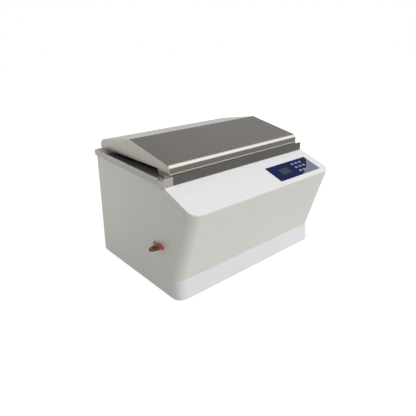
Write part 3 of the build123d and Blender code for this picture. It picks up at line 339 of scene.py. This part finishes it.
FINISH = {
    "casing": ["outer_casing", "rear_panel"],
    "fascia": ["control_fascia"],
    "trim": ["rim_trim"],
    "lid": ["lid_shell"],
    "deck": ["tank_deck"],
    "tank": ["tank_bowl", "floor_rails", "heater_tube", "temperature_probes"],
    "tray": ["shaking_tray", "clamp_bases"],
    "zinc": ["base_plate", "casing_screws", "drive_frame", "motor_shaft", "valve_lever"],
    "nickel": ["fitting_nuts", "valve_ball", "crank_bearings", "guide_rods"],
    "spring": ["clamp_fingers"],
    "hinge": ["hinge_leaves_fixed", "hinge_leaves_lid", "hinge_pins"],
    "brass": ["drain_fitting", "valve_body", "valve_stem"],
    "bronze": ["slide_bushes"],
    "aluminium": [
        "rod_supports", "crank_pulley", "motor_pulley", "drive_carriage", "connecting_rod",
    ],
    "ferrite": ["carriage_magnets", "tray_magnets"],
    "sleeve": ["lever_sleeve"],
    "black_rubber": ["rubber_feet", "drive_belt"],
    "grey_rubber": ["drain_pipe"],
    "pale_rubber": ["lid_pads"],
    "foam": ["tank_insulation"],
    "ptfe": ["tray_runners"],
    "motor": ["gear_motor"],
    "black": ["mains_inlet", "fuse_drawer", "switch_housing", "power_rocker"],
    "board": ["control_board"],
    "supply": ["power_supply"],
    "key": [f"key_{i}" for i in range(1, 9)],
    "glass": ["display_window"],
    "film": ["keypad_overlay"],
}
MATERIAL_OF = {node: M[key] for key, names in FINISH.items() for node in names}
for node, material in MATERIAL_OF.items():
    for slot in NODES[node].material_slots:
        slot.material = material


# Studio

FLOOR_LEVEL = -0.0003
FLOOR_SIZE = 12.0
FLOOR_TONE = (0.40, 0.388, 0.366)
FLOOR_GLOW = {"Is Camera Ray": 0.85, "Is Glossy Ray": 0.5, "Is Transmission Ray": 0.5}
WHITE = (1, 1, 1, 1)
# The sky's strength rises from HORIZON to ZENITH between two heights of the view direction
SKY_LOW = 0.12
SKY_HIGH = 0.42
HORIZON = 0.0
ZENITH = 0.34
BACKDROP_TOP = 0.30
# Azimuth from the back towards the right, elevation, inner and outer half angle, strength
FIELDS = [
    (136, 38, 10, 52, 2.25),
    (208, 12, 6, 38, 2.15),
    (35, 5, 8, 26, 0.46),
    (80, 36, 5, 40, 0.12),
]
LAMP_PLACE = Vector((-0.95, 1.10, 0.55))
LAMP_AIM = Vector((-0.45, 0.2, 0.1))
LAMP_SIDE = 0.7
LAMP_POWER = 2.9
LAMP_COLOUR = (1, 0.98, 0.93)


def make_floor():
    """A pale floor that keeps its shadow.

    An even glow makes it white to the camera and in metal and glass.
    """
    s = Shader("studio_floor")
    s.put(Roughness=0.9, Base_Color=(*FLOOR_TONE, 1), Emission_Color=WHITE)
    ray = s.node("ShaderNodeLightPath")
    glow = 0.0
    for kind, strength in FLOOR_GLOW.items():
        glow = s.maths("MULTIPLY_ADD", ray.outputs[kind], strength, glow)
    s.join(glow, s.bsdf.inputs["Emission Strength"])
    mesh = bpy.data.meshes.new("studio_floor")
    bm = bmesh.new()
    bmesh.ops.create_grid(
        bm, x_segments=1, y_segments=1, size=FLOOR_SIZE,
        matrix=Matrix.Translation((0, 0, FLOOR_LEVEL)))
    bm.to_mesh(mesh)
    bm.free()
    mesh.materials.append(s.material)
    floor = bpy.data.objects.new("studio_floor", mesh)
    scene.collection.objects.link(floor)


def make_world():
    """The studio round the bath: a soft sky with bright fields. The camera sees white.

    Metal and glass see a white backdrop low down as well.
    """
    world = bpy.data.worlds.new("studio")
    scene.world = world
    world.use_nodes = True
    n = Nodes(world.node_tree)
    direction = n.node("ShaderNodeTexCoord").outputs["Generated"]
    height = n.dot(direction, (0, 0, 1))
    light = n.remap(height, HORIZON, ZENITH, SKY_LOW, SKY_HIGH, step="SMOOTHSTEP")
    for azimuth, elevation, inner, outer, strength in FIELDS:
        flat = math.cos(math.radians(elevation))
        axis = (
            flat * math.sin(math.radians(azimuth)),
            flat * math.cos(math.radians(azimuth)),
            math.sin(math.radians(elevation)),
        )
        edge = math.cos(math.radians(outer))
        core = math.cos(math.radians(inner))
        field = n.remap(n.dot(direction, axis), 0, strength, edge, core, step="SMOOTHSTEP")
        light = n.maths("ADD", light, field)
    backdrop = n.remap(height, 1, 0, SKY_LOW, BACKDROP_TOP, step="SMOOTHSTEP")
    ray = n.node("ShaderNodeLightPath").outputs
    mirrored = n.maths("MAXIMUM", ray["Is Glossy Ray"], ray["Is Transmission Ray"])
    strength = n.node("ShaderNodeMix")
    n.join(mirrored, strength.inputs["Factor"])
    n.join(light, strength.inputs["A"])
    n.join(n.maths("MAXIMUM", light, backdrop), strength.inputs["B"])
    room = n.node("ShaderNodeBackground")
    room.inputs["Color"].default_value = WHITE
    n.join(strength.outputs["Result"], room.inputs["Strength"])
    seen = n.tree.nodes["Background"]
    seen.inputs["Color"].default_value = WHITE
    seen.inputs["Strength"].default_value = 1.0
    mix = n.node("ShaderNodeMixShader")
    n.join(ray["Is Camera Ray"], mix.inputs["Fac"])
    n.join(room.outputs["Background"], mix.inputs[1])
    n.join(seen.outputs["Background"], mix.inputs[2])
    n.join(mix.outputs["Shader"], n.tree.nodes["World Output"].inputs["Surface"])


def make_lamp():
    """A soft lamp behind on the left, for the casing's side."""
    data = bpy.data.lights.new("left_light", "AREA")
    data.size = LAMP_SIDE
    data.energy = LAMP_POWER
    data.color = LAMP_COLOUR
    lamp = bpy.data.objects.new("left_light", data)
    lamp.location = LAMP_PLACE
    lamp.rotation_euler = (LAMP_AIM - LAMP_PLACE).to_track_quat("-Z", "Y").to_euler()
    scene.collection.objects.link(lamp)


make_floor()
make_world()
make_lamp()
scene.view_settings.view_transform = "Standard"


# Softened copies of the solids that show

MERGE_DISTANCE = 2e-6
FLAT_ANGLE = math.radians(0.8)
SHARP_ANGLE = 30.0
# The casing's fold at the plinth is shallower than that
CASING_SHARP_ANGLE = 15.0
CREASE_Z = 61.0
SKIRT_BACK_Y = 90.0
SKIRT_FOOT_Z = 353.0
# A face whose normal has a lower y than this turns to the front enough to count
PLINTH_NORMAL_Y = -0.05
SKIRT_NORMAL_Y = -0.97


def soften(node, width, sharp_angle=SHARP_ANGLE, second=None, holds=None):
    """A copy of a solid, with its sharp edges rounded by width, in metres, stands for it.

    Where second and holds are given, the faces that holds picks get the material second.
    """
    mesh = NODES[node].data.copy()
    bm = bmesh.new()
    bm.from_mesh(mesh)
    bmesh.ops.remove_doubles(bm, verts=bm.verts, dist=MERGE_DISTANCE)
    bmesh.ops.dissolve_limit(bm, angle_limit=FLAT_ANGLE, verts=bm.verts, edges=bm.edges)
    limit = math.radians(sharp_angle)
    sharp = [e for e in bm.edges if len(e.link_faces) == 2 and e.calc_face_angle(0) > limit]
    bmesh.ops.bevel(
        bm, geom=sharp, offset=width, segments=2, profile=0.5, affect="EDGES",
        clamp_overlap=True, loop_slide=True)
    for face in bm.faces:
        face.smooth = True
        face.material_index = 1 if holds and holds(face) else 0
    for edge in bm.edges:
        edge.smooth = len(edge.link_faces) == 2 and edge.calc_face_angle(0) < limit
    mesh.name = node + "_look"
    mesh.materials.clear()
    mesh.materials.append(MATERIAL_OF[node])
    if second:
        mesh.materials.append(second)
    bm.to_mesh(mesh)
    bm.free()
    piece = bpy.data.objects.new(node + "_look", mesh)
    scene.collection.objects.link(piece)
    even = piece.modifiers.new("even_normals", "WEIGHTED_NORMAL")
    even.keep_sharp = True
    even.weight = 100
    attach(piece, BODY_OF[node])
    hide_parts(node)


def on_plinth_cool_light(face):
    """Front faces below the crease. Their cooler tone is painted cool light on the casing's one
    paint.
    """
    low = face.calc_center_median().z < at(0, 0, CREASE_Z).z
    return low and face.normal.y < PLINTH_NORMAL_Y


def on_skirt_painted_shade(face):
    """The flat of the lid's front skirt, between its fold and its hem, which gets the painted
    dark reflection.
    """
    centre = face.calc_center_median()
    limit = at(0, SKIRT_BACK_Y, SKIRT_FOOT_Z)
    return face.normal.y < SKIRT_NORMAL_Y and centre.y < limit.y and centre.z > limit.z


# The casing's front below the crease gets painted cool light as its second material
soften(
    "outer_casing", 0.0008, sharp_angle=CASING_SHARP_ANGLE, second=M["plinth"], holds=on_plinth_cool_light)
soften("control_fascia", 0.0010)
soften("rim_trim", 0.0006)
soften("tank_deck", 0.0005)
# The flat of the lid's front skirt gets the darker steel, a painted dark reflection
soften("lid_shell", 0.0006, second=M["skirt"], holds=on_skirt_painted_shade)


# Pieces of the scene alone

def add_piece(name, bm, material, body):
    """One look piece that rides a body."""
    mesh = bpy.data.meshes.new(name)
    bmesh.ops.recalc_face_normals(bm, faces=bm.faces)
    bm.to_mesh(mesh)
    bm.free()
    mesh.materials.append(material)
    piece = bpy.data.objects.new(name, mesh)
    scene.collection.objects.link(piece)
    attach(piece, body)


def add_prism(bm, low, high):
    """A closed solid between two rings of as many points each."""
    low = [bm.verts.new(point) for point in low]
    high = [bm.verts.new(point) for point in high]
    bm.faces.new(low[::-1])
    bm.faces.new(high)
    for i in range(len(low)):
        j = (i + 1) % len(low)
        bm.faces.new((low[i], low[j], high[j], high[i]))


# Dark strip on the deck's front, bent over its lip: its section in y and z
STRIP_LEFT = -257.0
STRIP_RIGHT = 281.5
STRIP_PROFILE = [
    (57.0, 324.0),
    (56.6, 324.2),
    (56.6, 348.6),
    (56.9, 348.9),
    (60.0, 348.9),
    (60.0, 348.5),
    (57.0, 348.5),
]


def front_strip():
    bm = bmesh.new()
    left, right = [
        [at(x, y, z) for y, z in STRIP_PROFILE] for x in (STRIP_LEFT, STRIP_RIGHT)
    ]
    add_prism(bm, left, right)
    add_piece("front_strip", bm, M["strip"], "casing")


# Digits of the display, switched off
WINDOW_U = 118.5
WINDOW_V = 55.0
WINDOW_TOP = 0.6
DIGIT_WIDTH = 5.4
DIGIT_HEIGHT = 9.0
DIGIT_PITCH = 10.0
DIGIT_ROW = 6.2
BAR = 1.3
BAR_THICK = 0.08
# Across and up from the digit's middle, in half digits, and whether the bar lies flat
BARS = {
    "a": (0, 1, True),
    "b": (1, 0.5, False),
    "c": (1, -0.5, False),
    "d": (0, -1, True),
    "e": (-1, -0.5, False),
    "f": (-1, 0.5, False),
    "g": (0, 0, True),
}
DIGITS = {"0": "abcdef", "1": "bc", "2": "abged", "3": "abgcd", "7": "abc"}


def display_digits():
    bm = bmesh.new()
    for row, text in ((1, "370"), (-1, "120")):
        for place, digit in enumerate(text):
            for bar in DIGITS[digit]:
                across, up, flat = BARS[bar]
                u = WINDOW_U + (place - 1) * DIGIT_PITCH + across * DIGIT_WIDTH / 2
                v = WINDOW_V + row * DIGIT_ROW + up * DIGIT_HEIGHT / 2
                half_u = (DIGIT_WIDTH - BAR if flat else BAR) / 2
                half_v = (BAR if flat else DIGIT_HEIGHT / 2 - BAR) / 2
                low, high = [
                    [on_panel(u + a * half_u, v + b * half_v, w)
                     for a, b in ((-1, -1), (1, -1), (1, 1), (-1, 1))]
                    for w in (WINDOW_TOP, WINDOW_TOP + BAR_THICK)
                ]
                add_prism(bm, low, high)
    add_piece("display_digits", bm, M["digit"], "casing")


front_strip()
display_digits()
